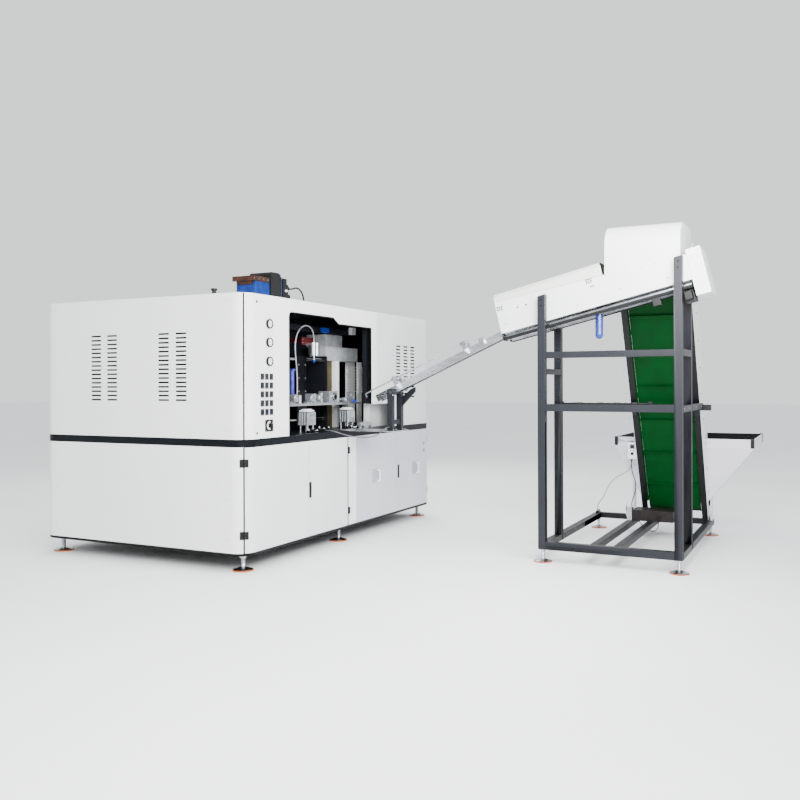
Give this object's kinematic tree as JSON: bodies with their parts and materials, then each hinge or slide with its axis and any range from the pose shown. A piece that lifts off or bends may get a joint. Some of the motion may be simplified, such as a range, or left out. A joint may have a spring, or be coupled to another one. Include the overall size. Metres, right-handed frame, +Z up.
{
  "type": "blow moulding machine",
  "caption": "White cabinet bottle blow moulding machine with an inclined belt elevator, hopper, roller unscrambling trough and chute that feed preforms into it.",
  "frame": {"origin": "on the floor, under the middle of the levelling foot at the cabinet's front left corner", "axes": "+X along the cabinet's front towards its far end, +Y back into the cabinet (the feeder stands at -Y), +Z up"},
  "size_m": [4.054, 5.394, 2.635],
  "materials": {
    "panel_white": "powder coated, fine orange peel",
    "door_white": "powder coated, slightly cooler white",
    "band_dark": "dark slate powder coat",
    "base_black": "black paint",
    "inner_dark": "dark grey paint inside the machine",
    "alu_trim": "satin extruded trim",
    "foot_steel": "zinc plated steel stems with rubber bottoms",
    "chrome_small": "polished",
    "black_plastic": "moulded",
    "grey_plastic": "moulded",
    "bright_steel": "machined",
    "aluminium": "clear anodised",
    "mould_steel": "ground",
    "duct_grey": "galvanised grey sheet",
    "motor_blue": "enamel",
    "frame_slate": "slate blue-grey powder coat",
    "feeder_white": "cool white powder coat",
    "roller_steel": "drawn tube",
    "belt_green": "matt woven faced belt",
    "preform_blue": "clear moulded PET with a blue tint",
    "black_steel": "black oxide",
    "cable_black": "sheathed",
    "hose_black": "rubber hose",
    "cable_white": "white PVC sheath"
  },
  "bodies": {
    "machine_frame": {"floor_frame": "base_black", "deck": "band_dark", "end_panels": "panel_white", "far_panels": "panel_white", "back_and_roof": "panel_white", "front_panel": "panel_white", "right_panel": "panel_white", "window_trim": "alu_trim", "levelling_feet": "foot_steel", "gauges": "black_plastic", "front_controls": "grey_plastic", "mandrel_plate": "bright_steel", "mandrel_hubs": "bright_steel", "air_cylinders": "aluminium", "tie_bars": "bright_steel", "head_beam": "inner_dark", "work_fittings": "aluminium", "blow_cylinder": "aluminium", "oven": "duct_grey", "roof_drive": "motor_blue", "stand_frame": "frame_slate", "trough_walls": "feeder_white", "trough_bearings": "frame_slate", "gear_cover": "feeder_white", "roller_motor": "motor_blue", "hood": "feeder_white", "lift_sides": "feeder_white", "lift_channels": "frame_slate", "belt": "belt_green", "lift_motor": "motor_blue", "hopper": "feeder_white", "control_box": "feeder_white", "preform": "preform_blue", "chute_rails": "bright_steel", "chute_stand": "black_steel", "rail_cable": "cable_black", "deck_cable": "cable_black", "roof_hose": "hose_black", "blow_hose": "hose_black", "box_cable_white": "cable_white", "box_cable_black": "cable_black"},
    "door_a": {"door_a": "panel_white"},
    "door_b": {"door_b": "panel_white"},
    "door_c": {"door_c": "door_white"},
    "door_d": {"door_d": "door_white"},
    "lock_core_upper": {"lock_core_upper": "chrome_small"},
    "lock_core_lower": {"lock_core_lower": "chrome_small"},
    "isolator_knob": {"isolator_knob": "black_plastic"},
    "transfer_disc": {"transfer_disc": "bright_steel"},
    "left_lift_cap": {"left_lift_cap": "aluminium"},
    "right_lift_cap": {"right_lift_cap": "aluminium"},
    "mould_left": {"mould_left": "mould_steel"},
    "mould_right": {"mould_right": "mould_steel"},
    "blow_nozzle": {"blow_nozzle": "bright_steel"},
    "roller_near": {"roller_near": "roller_steel"},
    "roller_far": {"roller_far": "roller_steel"},
    "trough_lid": {"trough_lid": "feeder_white"},
    "tail_drum": {"tail_drum": "roller_steel"},
    "head_drum": {"head_drum": "roller_steel"},
    "control_knob": {"control_knob": "black_plastic"}
  },
  "joints": [
    {"name": "door_a_hinge", "type": "hinge", "parent": "machine_frame", "child": "door_a", "pos_m": [-0.08758, -0.07758, 0.52], "axis": [0, 0, 1], "range_deg": [-100, 0]},
    {"name": "door_b_hinge", "type": "hinge", "parent": "machine_frame", "child": "door_b", "pos_m": [1.388, -0.118, 0.52], "axis": [0, 0, 1], "range_deg": [0, 80]},
    {"name": "door_c_hinge", "type": "hinge", "parent": "machine_frame", "child": "door_c", "pos_m": [1.408, -0.118, 0.52], "axis": [0, 0, 1], "range_deg": [-80, 0]},
    {"name": "door_d_hinge", "type": "hinge", "parent": "machine_frame", "child": "door_d", "pos_m": [3.14758, -0.07758, 0.52], "axis": [0, 0, 1], "range_deg": [0, 100]},
    {"name": "lock_upper_turn", "type": "hinge", "parent": "door_d", "child": "lock_core_upper", "pos_m": [3, -0.115, 0.788], "axis": [0, 1, 0], "range_deg": [0, 90]},
    {"name": "lock_lower_turn", "type": "hinge", "parent": "door_d", "child": "lock_core_lower", "pos_m": [3, -0.115, 0.714], "axis": [0, 1, 0], "range_deg": [0, 90]},
    {"name": "isolator_turn", "type": "hinge", "parent": "machine_frame", "child": "isolator_knob", "pos_m": [0.183, -0.12, 1.094], "axis": [0, 1, 0], "range_deg": [0, 90]},
    {"name": "transfer_disc_turn", "type": "hinge", "parent": "machine_frame", "child": "transfer_disc", "pos_m": [1.51, 0.12, 1.297], "axis": [0, 1, 0], "continuous": true},
    {"name": "left_cap_lift", "type": "slide", "parent": "machine_frame", "child": "left_lift_cap", "axis": [0, 0, 1], "range_m": [0, 0.025]},
    {"name": "right_cap_lift", "type": "slide", "parent": "machine_frame", "child": "right_lift_cap", "axis": [0, 0, 1], "range_m": [0, 0.025]},
    {"name": "mould_left_slide", "type": "slide", "parent": "machine_frame", "child": "mould_left", "axis": [1, 0, 0], "range_m": [0, 0.0595]},
    {"name": "mould_right_slide", "type": "slide", "parent": "machine_frame", "child": "mould_right", "axis": [1, 0, 0], "range_m": [-0.0595, 0]},
    {"name": "nozzle_drop", "type": "slide", "parent": "machine_frame", "child": "blow_nozzle", "axis": [0, 0, -1], "range_m": [0, 0.06]},
    {"name": "roller_near_spin", "type": "hinge", "parent": "machine_frame", "child": "roller_near", "pos_m": [1.391, -1.60558, 1.79178], "axis": [0, 0.972, -0.2351], "continuous": true},
    {"name": "roller_far_spin", "type": "hinge", "parent": "machine_frame", "child": "roller_far", "pos_m": [1.519, -1.60558, 1.79178], "axis": [0, 0.972, -0.2351], "continuous": true},
    {"name": "trough_lid_hinge", "type": "hinge", "parent": "machine_frame", "child": "trough_lid", "pos_m": [1.585, -1.52117, 2.14072], "axis": [0, 0.972, -0.2351], "range_deg": [0, 100]},
    {"name": "tail_drum_spin", "type": "hinge", "parent": "machine_frame", "child": "tail_drum", "pos_m": [3.10769, -2.6925, 0.32727], "axis": [0, 1, 0], "continuous": true},
    {"name": "head_drum_spin", "type": "hinge", "parent": "machine_frame", "child": "head_drum", "pos_m": [2.0655, -2.6925, 2.35514], "axis": [0, 1, 0], "continuous": true},
    {"name": "control_knob_turn", "type": "hinge", "parent": "machine_frame", "child": "control_knob", "pos_m": [2.733, -2.358, 0.765], "axis": [1, 0, 0], "range_deg": [-45, 45]}
  ],
  "couplings": [
    {"joint": "mould_right_slide", "follows": "mould_left_slide", "ratio": -1},
    {"joint": "roller_far_spin", "follows": "roller_near_spin", "ratio": -1},
    {"joint": "tail_drum_spin", "follows": "head_drum_spin", "ratio": 1}
  ]
}
